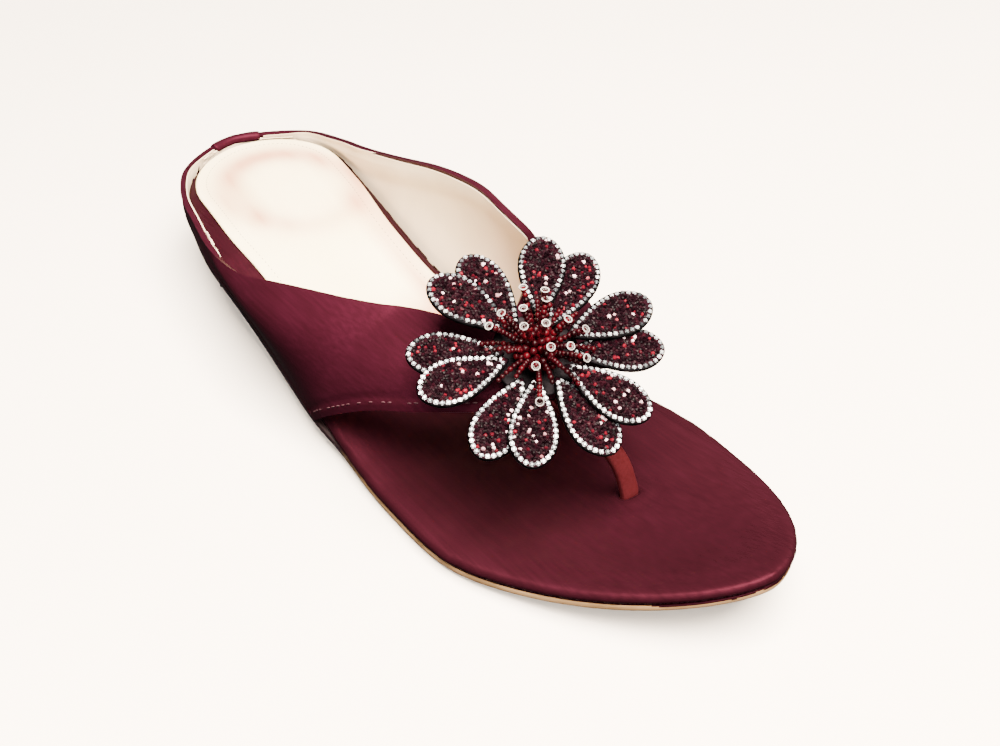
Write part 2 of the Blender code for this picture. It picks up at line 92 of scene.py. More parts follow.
# The outsole's edge is inked from the heel to here, in x
INK_FROM, INK_TO = 0.112, 0.132

# The footbed: the mesh's step, how far its side swells, and the crease inside its rim from the ball to the toe
BED_STEP = 0.75 * MM
BED_SIDE = 1.0 * MM
BED_SWELL = 0.45 * MM
BED_CREASE = 0.35 * MM
BED_CREASE_IN = 5.0 * MM
BED_CREASE_WIDE = 1.8 * MM
CREASE_FROM, CREASE_OVER = 0.15, 0.05

# How much of the sole's edge the satin covers
WRAP_SHARE = 0.20

# The sock: how far it is drawn in on the big toe's side, and its line of needle holes
SOCK_STRIP = 1.4 * MM
SOCK_LINE_INSET = 3.6 * MM
SOCK_LINE_PITCH = 1.9 * MM
SOCK_HOLE = 0.75 * MM
SOCK_HOLE_LIFT = 0.02 * MM

# The sock's painted pink shade: a ring round the heel's dish, a line along the arch, and the end under the flower
DISH_MIDDLE, DISH_LONG, DISH_RADIUS, DISH_WIDE = 0.012, 1.35, 0.020, 0.0045
ARCH_SIDE, ARCH_SLANT, ARCH_WIDE = 0.012, 0.10, 0.0040
END_FROM, END_OVER = 0.070, 0.03

# The toe post's faces that look back towards the heel further than this show its lining
POST_BACK = -0.25

# The flower, as in the source: how its axis leans, and the outline of a petal
LEAN_TOE = 0.415
LEAN_MEDIAL = -0.17
PETALS = 6
TOP_TURN = math.radians(19)
LOW_TURN = math.radians(-3)
PETAL_INNER = 8.0 * MM
PETAL_TIP = 34.0 * MM
PETAL_WIDTH = 13.2 * MM
PETAL_WIDEST = 0.65
RIM_INSET = 1.05 * MM
RIM_PITCH = 1.55 * MM
RIM_STONE = 0.62 * MM
RIM_START = 9.6 * MM
RIM_SINK = 0.1 * MM
RIM_LEAN = 0.15
FILL_INSET = 1.75 * MM
FILL_PITCH = 0.85 * MM
FILL_START = 8.6 * MM
FILL_SINK = 0.15 * MM
FILL_EDGE = 0.8 * MM
FILL_TILT = 0.6

# The sprays: where the wires start above the flower's foot, their bend, and the sizes of beads and rings
SPRAY_FOOT = 3.0 * MM
SPRAY_BEND = 2.2 * MM
BEAD_PITCH = 1.35 * MM
RING_SIZE = 2.4 * MM
RING_CORE = 1.3 * MM
SHORT_SPRAYS = 24
KNOT_BEADS = 60
KNOT_RADIUS = 6.0 * MM
KNOT_RISE = 2.2 * MM
GOLDEN_TURN = 2.399963


# Making of meshes


def only(piece):
    """Deselects everything and makes one piece the active one."""
    bpy.ops.object.select_all(action="DESELECT")
    piece.select_set(True)
    bpy.context.view_layer.objects.active = piece


def edit(piece):
    only(piece)
    bpy.ops.object.mode_set(mode="EDIT")
    bpy.ops.mesh.select_all(action="SELECT")


def done():
    bpy.ops.object.mode_set(mode="OBJECT")


def apply(piece, kind, **settings):
    """Adds a modifier with its settings and applies it."""
    only(piece)
    modifier = piece.modifiers.new(kind, kind)
    for key, value in settings.items():
        setattr(modifier, key, value)
    bpy.ops.object.modifier_apply(modifier=modifier.name)


def rounded(piece, levels):
    apply(piece, "SUBSURF", levels=levels, render_levels=levels)
    only(piece)
    bpy.ops.object.shade_smooth()


def crease_over(piece, degrees, weight):
    """Gives every edge sharper than the angle a crease, so that rounding keeps it."""
    edit(piece)
    bpy.ops.mesh.select_all(action="DESELECT")
    bpy.ops.mesh.select_mode(type="EDGE")
    bpy.ops.mesh.edges_select_sharp(sharpness=math.radians(degrees))
    bpy.ops.transform.edge_crease(value=weight)
    done()


def copy_of(node, name, quads=True):
    """A piece that starts as a CAD node's mesh, merged and with four-sided faces again."""
    made = bpy.data.objects.new(name, nodes[node].data.copy())
    bpy.context.scene.collection.objects.link(made)
    made.data.materials.clear()
    edit(made)
    bpy.ops.mesh.remove_doubles(threshold=MERGE)
    if quads:
        bpy.ops.mesh.tris_convert_to_quads(
            face_threshold=math.radians(60), shape_threshold=math.pi, topology_influence=2.0
        )
    done()
    return made


def tree_of(piece):
    mesh = piece.data
    return BVHTree.FromPolygons([v.co for v in mesh.vertices], [p.vertices for p in mesh.polygons])


def points_tree(points):
    tree = KDTree(len(points))
    for i, point in enumerate(points):
        tree.insert(point, i)
    tree.balance()
    return tree


def smooth(t):
    t = min(max(t, 0.0), 1.0)
    return t * t * (3 - 2 * t)


def bell(distance, width):
    """1 in the middle of a soft ridge or trough, falling to 0 on either side."""
    return math.exp(-((distance / width) ** 2))


def mark_regions(mesh, degrees):
    """Gives each side of a walled shape its own material index, largest side first. Returns the sides' mean places."""
    shape = bmesh.new()
    shape.from_mesh(mesh)
    shape.faces.ensure_lookup_table()
    region = [-1] * len(shape.faces)
    found = []
    for start in shape.faces:
        if region[start.index] >= 0:
            continue
        mark, queue, members = len(found), [start], []
        region[start.index] = mark
        while queue:
            face = queue.pop()
            members.append(face.index)
            for side in face.edges:
                if len(side.link_faces) == 2 and side.calc_face_angle() < math.radians(degrees):
                    for other in side.link_faces:
                        if region[other.index] < 0:
                            region[other.index] = mark
                            queue.append(other)
        found.append((sum(shape.faces[i].calc_area() for i in members), members))
    shape.free()
    found.sort(key=lambda item: -item[0])
    for mark, (area, members) in enumerate(found):
        for i in members:
            mesh.polygons[i].material_index = mark
    return [sum((mesh.polygons[i].center for i in m), Vector()) / len(m) for a, m in found]


def longest_line(ways):
    """The longest chain of points that join two by two, in order, from the neighbours of each."""
    best, seen = [], set()
    for start in ways:
        if start in seen:
            continue
        line, here = [start], start
        seen.add(start)
        while True:
            ahead = [v for v in ways[here] if v not in seen]
            if not ahead:
                break
            here = ahead[0]
            seen.add(here)
            line.append(here)
        if len(line) > len(best):
            best = line
    return best


def line_between(mesh, first, second):
    """The points of the longest line where two material indices meet, in order."""
    sides = {}
    for polygon in mesh.polygons:
        for key in polygon.edge_keys:
            sides.setdefault(key, []).append(polygon.material_index)
    ways = {}
    for (a, b), marks in sides.items():
        if sorted(marks) == sorted((first, second)):
            ways.setdefault(a, []).append(b)
            ways.setdefault(b, []).append(a)
    return [mesh.vertices[i].co.copy() for i in longest_line(ways)]


def even(line, pitch, closed=True):
    """Points at an even pitch along a line, each with the line's direction there."""
    line = list(line) + ([line[0]] if closed else [])
    total = sum((b - a).length for a, b in zip(line, line[1:]))
    count = max(int(round(total / pitch)), 2)
    step = total / count
    made, walked, goal = [], 0.0, step / 2
    for a, b in zip(line, line[1:]):
        run = (b - a).length
        while run > 0 and goal <= walked + run:
            made.append((a.lerp(b, (goal - walked) / run), (b - a) / run))
            goal += step
        walked += run
    return made


def shape_of(piece, shade=lambda polygon: 1.0):
    """The points, faces and shades of faces of a small model, which is then deleted."""
    mesh = piece.data
    found = (
        [v.co.copy() for v in mesh.vertices],
        [tuple(p.vertices) for p in mesh.polygons],
        [shade(p) for p in mesh.polygons],
    )
    bpy.data.objects.remove(piece)
    return found


def many(name, shapes, places, sharp=True):
    """One joined piece from copies of small models. Each place is (matrix, tone); tone, times the shade of each face,
    is kept for the finish.
    """
    points, faces, tones = [], [], []
    for i, (matrix, tone) in enumerate(places):
        own, sides, shades = shapes[i % len(shapes)]
        start = len(points)
        points.extend(matrix @ p for p in own)
        faces.extend(tuple(start + k for k in side) for side in sides)
        tones.extend(tone * shade for shade in shades)
    mesh = bpy.data.meshes.new(name)
    mesh.from_pydata(points, [], faces)
    mesh.attributes.new("tone", "FLOAT", "FACE").data.foreach_set("value", tones)
    made = bpy.data.objects.new(name, mesh)
    bpy.context.scene.collection.objects.link(made)
    if not sharp:
        only(made)
        bpy.ops.object.shade_smooth()
    return made


def turned(place, along, up, size=1.0):
    """A matrix that puts a small model at a place, with its own X along and its own Z up."""
    up = up.normalized()
    along = (along - up * along.dot(up)).normalized()
    across = up.cross(along)
    return Matrix.Translation(place) @ Matrix((along, across, up)).transposed().to_4x4() @ Matrix.Scale(size, 4)


# Finishes


def linear(code):
    """A hex colour as linear light."""
    parts = [int(code[i : i + 2], 16) / 255 for i in (1, 3, 5)]
    return tuple(c / 12.92 if c <= 0.04045 else ((c + 0.055) / 1.055) ** 2.4 for c in parts) + (1.0,)


def add(finish, kind, links=None, **settings):
    """Adds a node to a finish. links names its inputs, each with a value or with another node's output."""
    node = finish.node_tree.nodes.new(kind)
    for key, value in settings.items():
        setattr(node, key, value)
    for key, value in (links or {}).items():
        if isinstance(value, bpy.types.NodeSocket):
            finish.node_tree.links.new(value, node.inputs[key])
        else:
            node.inputs[key].default_value = value
    return node


def finish_of(name):
    """An empty finish and its surface shader."""
    made = bpy.data.materials.new(name)
    made.use_nodes = True
    return made, made.node_tree.nodes["Principled BSDF"]


def set_inputs(finish, surface, **values):
    for key, value in values.items():
        name = key.replace("_", " ")
        if isinstance(value, bpy.types.NodeSocket):
            finish.node_tree.links.new(value, surface.inputs[name])
        else:
            surface.inputs[name].default_value = value


def ramp(finish, source, stops):
    """A colour ramp from (position, colour) stops."""
    node = add(finish, "ShaderNodeValToRGB", {"Fac": source})
    bar = node.color_ramp.elements
    for element, (position, colour) in ((bar[0], stops[0]), (bar[1], stops[-1])):
        element.position = position
        element.color = colour
    for position, colour in stops[1:-1]:
        bar.new(position).color = colour
    return node


def satin_finish(name, dark, middle, light, gloss):
    """Polyester satin, woven and calendered: a smooth face with a broad soft gloss, faint streaks along the warp that
    vary its roughness and in its colour are painted sheen, and a lighter bloom where the eye meets it at a slant."""
    made, surface = finish_of(name)
    place = add(made, "ShaderNodeTexCoord")
    # Warp streaks: 40 mm long and 0.9 mm wide, far coarser than the threads of 0.1 mm, which can't show here
    stretched = add(made, "ShaderNodeMapping", {"Vector": place.outputs["Object"], "Scale": (25, 700, 700)})
    streaks = add(made, "ShaderNodeTexNoise", {"Vector": stretched.outputs[0], "Scale": 1.6, "Detail": 3.0})
    cloud = add(made, "ShaderNodeTexNoise", {"Vector": place.outputs["Object"], "Scale": 45.0, "Detail": 2.0})
    # The colour mixes the warp streaks, as painted sheen, with an uneven cloud of tone
    both = add(made, "ShaderNodeMix", {"Factor": 0.45, "A": streaks.outputs["Fac"], "B": cloud.outputs["Fac"]})
    tint = ramp(made, both.outputs[0], ((0.30, linear(dark)), (0.52, linear(middle)), (0.75, linear(light))))
    # Weave: 0.5 mm cells, five times the real threads
    weave = add(made, "ShaderNodeTexNoise", {"Vector": place.outputs["Object"], "Scale": 1900.0, "Detail": 1.0})
    bump = add(
        made, "ShaderNodeBump", {"Strength": 0.10, "Distance": 0.0001, "Height": weave.outputs["Fac"]}
    )
    rough = add(made, "ShaderNodeMapRange", {"Value": streaks.outputs["Fac"], "To Min": 0.44, "To Max": 0.52})
    set_inputs(
        made,
        surface,
        Base_Color=tint.outputs["Color"],
        Roughness=rough.outputs[0],
        Normal=bump.outputs[0],
        Metallic=0.45,
        Anisotropic=0.4,
        Specular_IOR_Level=0.12,
        Specular_Tint=linear(gloss),
    )
    return made


def coated_finish(name, dark, light, rough, cell):
    """Polyurethane coated cloth, as linings and socks are: matt, with fine pores and a soft uneven tone."""
    made, surface = finish_of(name)
    place = add(made, "ShaderNodeTexCoord")
    cloud = add(made, "ShaderNodeTexNoise", {"Vector": place.outputs["Object"], "Scale": 38.0, "Detail": 3.0})
    tint = ramp(made, cloud.outputs["Fac"], ((0.32, linear(dark)), (0.68, linear(light))))
    pores = add(made, "ShaderNodeTexVoronoi", {"Vector": place.outputs["Object"], "Scale": 1 / cell})
    bump = add(
        made, "ShaderNodeBump", {"Strength": 0.12, "Distance": 0.0001, "Height": pores.outputs["Distance"]}
    )
    set_inputs(made, surface, Base_Color=tint.outputs["Color"], Roughness=rough, Normal=bump.outputs[0])
    return made


def tone_finish(name, stops, rough, gloss, metallic=0.0):
    """Glass stones: each takes its colour from its own tone, which holds painted facet shade and glints on the clear
    stones and painted glints on the crushed glass. gloss is low where many small facets share one glint.
    """
    made, surface = finish_of(name)
    tone = add(made, "ShaderNodeAttribute", attribute_name="tone")
    tint = ramp(made, tone.outputs["Fac"], [(at, linear(code)) for at, code in stops])
    set_inputs(
        made,
        surface,
        Base_Color=tint.outputs["Color"],
        Roughness=rough,
        Metallic=metallic,
        Specular_IOR_Level=gloss,
    )
    return made


SATIN = satin_finish("wine_satin", "#22080f", "#280a14", "#2f0d19", "#a06070")
BED_SATIN = satin_finish("footbed_satin", "#1d070d", "#220910", "#270b14", "#905060")
POST_SATIN = satin_finish("brick_satin", "#401416", "#47191d", "#4f1e23", "#b07068")
LINING = coated_finish("cream_lining", "#c2ae90", "#d5c2a5", 0.62, 0.5 * MM)
EDGE_CREAM = coated_finish("cream_edge", "#dcc9a8", "#ead9bd", 0.55, 0.5 * MM)
# The sock's needle holes are drawn as small raised stitches; their dark grey is painted shade of the holes
NEEDLE_HOLE_SHADE = coated_finish("needle_hole_shade_grey", "#4d4a44", "#5e5a52", 0.7, 0.3 * MM)
SATIN_THREAD = coated_finish("wine_thread", "#2c0b14", "#36101a", 0.7, 0.3 * MM)
# The clear stones' ramp, black to near white, paints the facets' shade and glints from each stone's tone and each
# face's shade
CLEAR_STONE = tone_finish(
    "foiled_clear_glass", ((0.0, "#060707"), (0.2, "#26292c"), (0.5, "#8d9397"), (0.9, "#e4e6e5")), 0.16, 0.3, 0.4
)
# In the crushed glass's ramp the top two stops, bright red and pale pink, are painted glints on the few chips of
# highest tone; the glass itself has little gloss
RED_CHIP = tone_finish(
    "crushed_red_glass",
    ((0.0, "#040102"), (0.5, "#0c0306"), (0.88, "#17050a"), (0.965, "#5c0c1a"), (0.988, "#d8b9bf")),
    0.30,
    0.04,
    0.0,
)
RED_BEAD = tone_finish("red_glass_bead", ((0.0, "#0d0102"), (0.6, "#1e0205"), (1.0, "#360409")), 0.25, 0.08)
RING_BEAD = tone_finish("clear_glass_ring", ((0.0, "#4a4443"), (1.0, "#9c9693")), 0.15, 0.3)


def sock_finish():
    """Polyurethane coated sock over thin foam: cream, with painted pink shade round the heel's dish, along the arch
    and under the flower.
    """
    made, surface = finish_of("cream_sock")
    place = add(made, "ShaderNodeTexCoord")
    painted_shade = add(made, "ShaderNodeAttribute", attribute_name="painted_shade")
    cloud = add(made, "ShaderNodeTexNoise", {"Vector": place.outputs["Object"], "Scale": 30.0, "Detail": 3.0})
    tint = ramp(made, cloud.outputs["Fac"], ((0.35, linear("#e3d3a6")), (0.65, linear("#ebddb4"))))
    # Painted pink shade is mixed into the cream, as much as the attribute says at each place
    mixed = add(
        made,
        "ShaderNodeMix",
        {6: tint.outputs["Color"], 7: linear("#9c4c34"), 0: painted_shade.outputs["Fac"]},
        data_type="RGBA",
    )
    pores = add(made, "ShaderNodeTexVoronoi", {"Vector": place.outputs["Object"], "Scale": 1700.0})
    bump = add(
        made, "ShaderNodeBump", {"Strength": 0.10, "Distance": 0.0001, "Height": pores.outputs["Distance"]}
    )
    set_inputs(made, surface, Base_Color=mixed.outputs[2], Roughness=0.55, Normal=bump.outputs[0])
    return made


def sole_finish(name, dark, light, rough, waist):
    """Pressed leather board or moulded rubber, with a faint mottle and a fine grain. The board's edge is inked dark from
    the heel to the waist."""
    made, surface = finish_of(name)
    place = add(made, "ShaderNodeTexCoord")
    mottle = add(made, "ShaderNodeTexNoise", {"Vector": place.outputs["Object"], "Scale": 90.0, "Detail": 4.0})
    tint = ramp(made, mottle.outputs["Fac"], ((0.35, linear(dark)), (0.65, linear(light))))
    parts = add(made, "ShaderNodeSeparateXYZ", {"Vector": place.outputs["Object"]})
    ink = add(made, "ShaderNodeMapRange", {"Value": parts.outputs["X"], "From Min": INK_FROM, "From Max": INK_TO})
    inked = add(
        made, "ShaderNodeMix", {6: linear(waist), 7: tint.outputs["Color"], 0: ink.outputs[0]}, data_type="RGBA"
    )
    grain = add(made, "ShaderNodeTexNoise", {"Vector": place.outputs["Object"], "Scale": 1600.0, "Detail": 2.0})
    bump = add(made, "ShaderNodeBump", {"Strength": 0.2, "Distance": 0.0001, "Height": grain.outputs["Fac"]})
    set_inputs(
        made, surface, Base_Color=inked.outputs[2], Roughness=rough, Normal=bump.outputs[0], Specular_IOR_Level=0.15
    )
    return made


def gunmetal_finish():
    """Stamped steel with a black nickel plate: dark, half bright, a little uneven."""
    made, surface = finish_of("black_nickel_plate")
    place = add(made, "ShaderNodeTexCoord")
    stain = add(made, "ShaderNodeTexNoise", {"Vector": place.outputs["Object"], "Scale": 400.0, "Detail": 2.0})
    tint = ramp(made, stain.outputs["Fac"], ((0.3, linear("#060506")), (0.7, linear("#161416"))))
    rough = add(made, "ShaderNodeMapRange", {"Value": stain.outputs["Fac"], "To Min": 0.45, "To Max": 0.60})
    set_inputs(made, surface, Base_Color=tint.outputs["Color"], Roughness=rough.outputs[0], Metallic=0.9)
    set_inputs(made, surface, Specular_IOR_Level=0.05, Specular_Tint=linear("#202022"))
    return made


SOCK = sock_finish()
SOLE = sole_finish("tan_sole_edge", "#7a5f3f", "#937450", 0.5, "#14080a")
RUBBER = sole_finish("dark_heel_rubber", "#120d0b", "#1d1714", 0.7, "#120d0b")
GUNMETAL = gunmetal_finish()
RESIN = coated_finish("dark_red_resin", "#0c0205", "#16040a", 0.6, 0.8 * MM)
# The plates face the key box, so their resin is nearly without gloss
RESIN.node_tree.nodes["Principled BSDF"].inputs["Specular IOR Level"].default_value = 0.02


def dress(piece, *finishes):
    piece.data.materials.clear()
    for finish in finishes:
        piece.data.materials.append(finish)


def part(piece, slot, *stands_for):
    """Every piece rides on the shoe itself and may stand for CAD nodes. slot is not used."""
    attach(piece, "root")
    if stands_for:
        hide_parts(*stands_for)
    return piece


# Small models that repeat


def one_stone():
    """A foiled round stone in its cup, 8 sides, 1 m across: it is scaled where it is set."""
    bpy.ops.mesh.primitive_cylinder_add(vertices=8, radius=1.0, depth=0.5, location=(0, 0, 0.25), end_fill_type="NGON")
    stone = bpy.context.active_object
    edit(stone)
    bpy.ops.mesh.select_mode(type="FACE")
    bpy.ops.mesh.select_all(action="DESELECT")
    done()
    for polygon in stone.data.polygons:
        polygon.select = polygon.normal.z > 0.9
    bpy.ops.object.mode_set(mode="EDIT")
    bpy.ops.mesh.inset(thickness=0.08, depth=0.0)
    bpy.ops.mesh.inset(thickness=0.42, depth=0.38)
    done()
    bpy.ops.object.transform_apply(location=True, rotation=True, scale=True)

    # Painted facet shade and glints: side walls and the cup's flat rim black, the facets lighter and darker by turns,
    # the table lightest
    def shade(polygon):
        if polygon.normal.z < 0.3 or polygon.center.xy.length > 0.9:
            return 0.0
        if polygon.center.xy.length < 0.2:
            return 1.0
        return 0.45 + 0.5 * (math.atan2(polygon.center.y, polygon.center.x) // (math.pi / 4) % 2)

    return shape_of(stone, shade)


def one_chip(seed):
    """A broken bit of glass, about 1 m across, with flat faces."""
    bpy.ops.mesh.primitive_ico_sphere_add(subdivisions=1, radius=0.62, location=(0, 0, 0.25))
    chip = bpy.context.active_object
    bpy.ops.object.transform_apply(location=True, rotation=True, scale=True)
    edit(chip)
    bpy.ops.transform.vertex_random(offset=0.16, seed=seed)
    done()
    return shape_of(chip)


def one_bead():
    """A small round bead with 8 sides, 1 m across."""
    bpy.ops.mesh.primitive_uv_sphere_add(segments=8, ring_count=6, radius=0.5)
    return shape_of(bpy.context.active_object)


def one_ring():
    bpy.ops.mesh.primitive_torus_add(major_segments=16, minor_segments=6, major_radius=0.42, minor_radius=0.075)
    return shape_of(bpy.context.active_object)


def one_stitch():
    """A stitch: a short thread 1 m long that dives at both ends, along X."""
    bpy.ops.mesh.primitive_uv_sphere_add(segments=8, ring_count=6, radius=0.5)
    stitch = bpy.context.active_object
    edit(stitch)
    bpy.ops.transform.resize(value=(1.0, 0.28, 0.26))
    done()
    return shape_of(stitch)


STONE = [one_stone()]
CHIPS = [one_chip(seed) for seed in (1, 5, 9, 14, 22)]
BEAD = [one_bead()]
RING = [one_ring()]
STITCH = [one_stitch()]


# Upper and lining

# The wall's sides by their area: its two faces, its long edges at the top and along the sole, the strap's front edge
OUTER, INNER, RIM_A, RIM_B, FRONT = range(5)


def make_upper():
    upper = copy_of("upper", "satin_upper")
    mesh = upper.data
    for side in range(8):
        mesh.materials.append(SATIN)
    centres = mark_regions(mesh, SIDE_TURN)
    # Both long edges of the wall are folded satin, so they are rounded
    edit(upper)
    bpy.ops.mesh.select_all(action="DESELECT")
    bpy.ops.mesh.select_mode(type="EDGE")
    bpy.ops.mesh.edges_select_sharp(sharpness=math.radians(SIDE_TURN))
    bpy.ops.mesh.bevel(offset=EDGE_ROUND, segments=2, affect="EDGES", clamp_overlap=True)
    done()
    rounded(upper, 2)
    # The wall between its edges is evened out, as cloth over a last is
    edges = points_tree([p.center for p in mesh.polygons if p.material_index > INNER])
    wall = upper.vertex_groups.new(name="wall")
    for vertex in mesh.vertices:
        share = smooth((edges.find(vertex.co)[2] - EVEN_FROM) / EVEN_OVER)
        if share > 0:
            wall.add([vertex.index], share, "REPLACE")
    apply(upper, "SMOOTH", factor=0.5, iterations=EVEN_ROUNDS, vertex_group="wall")
    return upper, RIM_A if centres[RIM_A].z > centres[RIM_B].z else RIM_B


def outer_mark(mesh):
    """Which of the two large sides faces away from the foot."""
    core = Vector((0.10, 0.0, 0.015))
    score = {OUTER: 0.0, INNER: 0.0}
    for polygon in mesh.polygons:
        if polygon.material_index in score:
            away = polygon.center - core
            away.x = 0.0
            score[polygon.material_index] += polygon.area * (1 if polygon.normal.dot(away) > 0 else -1)
    return OUTER if score[OUTER] > score[INNER] else INNER


def shape_upper(upper):
    """The hem along the strap's front edge: a fold with a stitched groove behind it."""
    mesh = upper.data
    out = outer_mark(mesh)
    front = [p.center.copy() for p in mesh.polygons if p.material_index == FRONT]
    tree = points_tree(front)
    outside = set()
    for polygon in mesh.polygons:
        if polygon.material_index == out:
            outside.update(polygon.vertices)
    moves = []
    for i in outside:
        vertex = mesh.vertices[i]
        far = tree.find(vertex.co)[2]
        if far < 3 * HEM_WIDE:
            dip = -HEM_GROOVE * bell(far - HEM_WIDE - HEM_BACK, HEM_GROOVE_WIDE)
            swell = HEM_SWELL * bell(far - 0.55 * HEM_WIDE - HEM_BACK, HEM_SWELL_WIDE)
            moves.append((i, vertex.normal * (dip + swell)))
    for i, move in moves:
        mesh.vertices[i].co += move
    return out, front


def make_lining(upper, top, out, front_points):
    """Coated cloth inside the wall. It stops below the satin that turns over the top edge, with a padded lip there."""
    inside = INNER if out == OUTER else OUTER
    mesh = upper.data
    rim = points_tree([p.center for p in mesh.polygons if p.material_index == top])
    front = points_tree(front_points)
    bed = tree_of(nodes_copy["footbed"])
    tab = tree_of(nodes_copy["back_tab"])
    lining = bpy.data.objects.new("cream_lining", mesh.copy())
    bpy.context.scene.collection.objects.link(lining)
    shape = bmesh.new()
    shape.from_mesh(lining.data)
    reach = {}
    for vertex in shape.verts:
        place, index, far = rim.find(vertex.co)
        reach[vertex] = (far, place)
    gone = []
    for face in shape.faces:
        deep = min(reach[v][0] for v in face.verts)
        if min(front.find(v.co)[2] for v in face.verts) < FRONT_TURN:
            deep = 0.0
        if (
            face.material_index != inside
            or deep < 0.6 * SATIN_TURN
            or tab.find_nearest(face.calc_center_median())[3] < TAB_CLEAR
            or min(bed.find_nearest(v.co)[3] for v in face.verts) < LINING_CLEAR
        ):
            gone.append(face)
    bmesh.ops.delete(shape, geom=gone, context="FACES")
    shape.normal_update()
    for vertex in shape.verts:
        far, place = reach[vertex]
        if vertex.is_boundary and far < 3.2 * SATIN_TURN:
            away = (vertex.co - place).normalized()
            vertex.co = place + away * SATIN_TURN
            far = SATIN_TURN
        share = (far - SATIN_TURN) / LIP_DEEP
        lip = LIP_RISE * smooth(share / 0.3) * (1 - smooth((share - 0.45) / 0.55))
        fade = smooth((bed.find_nearest(vertex.co)[3] - LIP_FADE_FROM) / LIP_FADE)
        trough = -TROUGH_DEEP * bell(far - SATIN_TURN - LIP_DEEP, TROUGH_WIDE)
        vertex.co += vertex.normal * (LINING_LIFT + LINING_THICK + (lip + trough) * fade)
    shape.to_mesh(lining.data)
    shape.free()
    cut_area = sum(p.area for p in lining.data.polygons)
    apply(lining, "SOLIDIFY", thickness=LINING_THICK, offset=-1.0)
    for polygon in lining.data.polygons:
        polygon.material_index = 0
    only(lining)
    bpy.ops.object.shade_smooth_by_angle(angle=math.radians(50))
    dress(lining, LINING)
    return lining, cut_area


def on_surface(tree, place, along, reach, normal):
    """A point of a surface beside a line on it, and the normal there."""
    side = normal.cross(along).normalized()
    found = tree.find_nearest(place + side * reach)
    return found[0], found[1]


def make_hem_stitches(upper, out):
    """One row of stitches along the strap's front edge, in the groove."""
    edge_line = line_between(upper.data, out, FRONT)
    tree = tree_of(upper)
    places = []
    for point, along in even(edge_line, HEM_STITCH, closed=False):
        normal = tree.find_nearest(point)[1]
        best = None
        for sign in (1, -1):
            place, facing = on_surface(tree, point, along * sign, HEM_WIDE, normal)
            if best is None or place.x < best[0].x:
                best = (place, facing)
        place, facing = best
        places.append((turned(place + facing * HEM_THREAD_LIFT, along, facing, HEM_THREAD), 0.5))
    stitches = many("hem_stitches", STITCH, places, sharp=False)
    dress(stitches, SATIN_THREAD)
    return stitches


# Footbed and sock


def make_footbed():
    """Foam and board wrapped in satin: edges rounded by the padding, with a soft crease inside the rim."""
    bed = copy_of("footbed", "wrapped_footbed", quads=False)
    edit(bed)
    bpy.ops.mesh.normals_make_consistent(inside=False)
    done()
    bed.data.remesh_voxel_size = BED_STEP
    only(bed)
    bpy.ops.object.voxel_remesh()
    apply(bed, "SMOOTH", factor=0.5, iterations=6)
    # The padding's side swells a little over the sole's edge, and a soft crease runs inside the rim
    mesh = bed.data
    side = points_tree([p.center for p in mesh.polygons if abs(p.normal.z) < 0.5])
    moves = []
    for vertex in mesh.vertices:
        far = side.find(vertex.co)[2]
        move = Vector((0, 0, 0))
        if vertex.normal.z < 0.5 and far < BED_SIDE:
            move = Vector((vertex.normal.x, vertex.normal.y, -1)) * BED_SWELL
        elif vertex.normal.z > 0.5:
            ahead = smooth((vertex.co.x - CREASE_FROM) / CREASE_OVER)
            move.z = -BED_CREASE * bell(far - BED_CREASE_IN, BED_CREASE_WIDE) * ahead
        moves.append(move)
    for vertex, move in zip(mesh.vertices, moves):
        vertex.co += move
    apply(bed, "SMOOTH", factor=0.5, iterations=5)
    only(bed)
    bpy.ops.object.shade_smooth()
    return bed


def wrap_edge(sole):
    """The footbed's satin is drawn down over the sole's edge, and leaves a thin line of the sole."""
    mesh = sole.data
    top = points_tree([p.center for p in mesh.polygons if p.normal.z > 0.9])
    low = points_tree([p.center for p in mesh.polygons if p.normal.z < -0.9])
    dress(sole, SOLE, BED_SATIN)
    for polygon in mesh.polygons:
        above = top.find(polygon.center)[2]
        below = low.find(polygon.center)[2]
        if above < WRAP_SHARE * (above + below) and polygon.center.x > INK_FROM:
            polygon.material_index = 1


def make_sock():
    sock = copy_of("heel_sock", "cream_sock")
    crease_over(sock, 50, 0.9)
    rounded(sock, 3)
    # A strip of the footbed's satin shows beside it on the big toe's side
    for vertex in sock.data.vertices:
        share = smooth((vertex.co.y - 0.004) / 0.014) * smooth((vertex.co.x - 0.02) / 0.03)
        vertex.co.y -= SOCK_STRIP * share
    return sock


def sock_line(sock):
    """The sock's outline in order, on its top."""
    highest = [p for p in sock.data.polygons if p.normal.z > 0.5]
    count = {}
    for polygon in highest:
        for key in polygon.edge_keys:
            count[key] = count.get(key, 0) + 1
    ways = {}
    for (a, b), uses in count.items():
        if uses == 1:
            ways.setdefault(a, []).append(b)
            ways.setdefault(b, []).append(a)
    return [sock.data.vertices[i].co.copy() for i in longest_line(ways)]


def make_sock_stitches(sock):
    line = sock_line(sock)
    tree = tree_of(sock)
    centre = sum(line, Vector()) / len(line)
    front = max(p.x for p in line)
    places = []
    for point, along in even(line, SOCK_LINE_PITCH):
        side = Vector((-along.y, along.x, 0)).normalized()
        if side.dot(centre - point) < 0:
            side.negate()
        start = point + side * SOCK_LINE_INSET
        if start.x > front - SOCK_LINE_INSET * 1.5:
            continue
        found = tree.ray_cast(start + Vector((0, 0, 0.01)), Vector((0, 0, -1)))
        if found[0] is not None:
            places.append((turned(found[0] + found[1] * SOCK_HOLE_LIFT, along, found[1], SOCK_HOLE), 0.5))
    stitches = many("sock_stitches", STITCH, places, sharp=False)
    # Their dark grey is painted shade of the needle holes
    dress(stitches, NEEDLE_HOLE_SHADE)
    return stitches


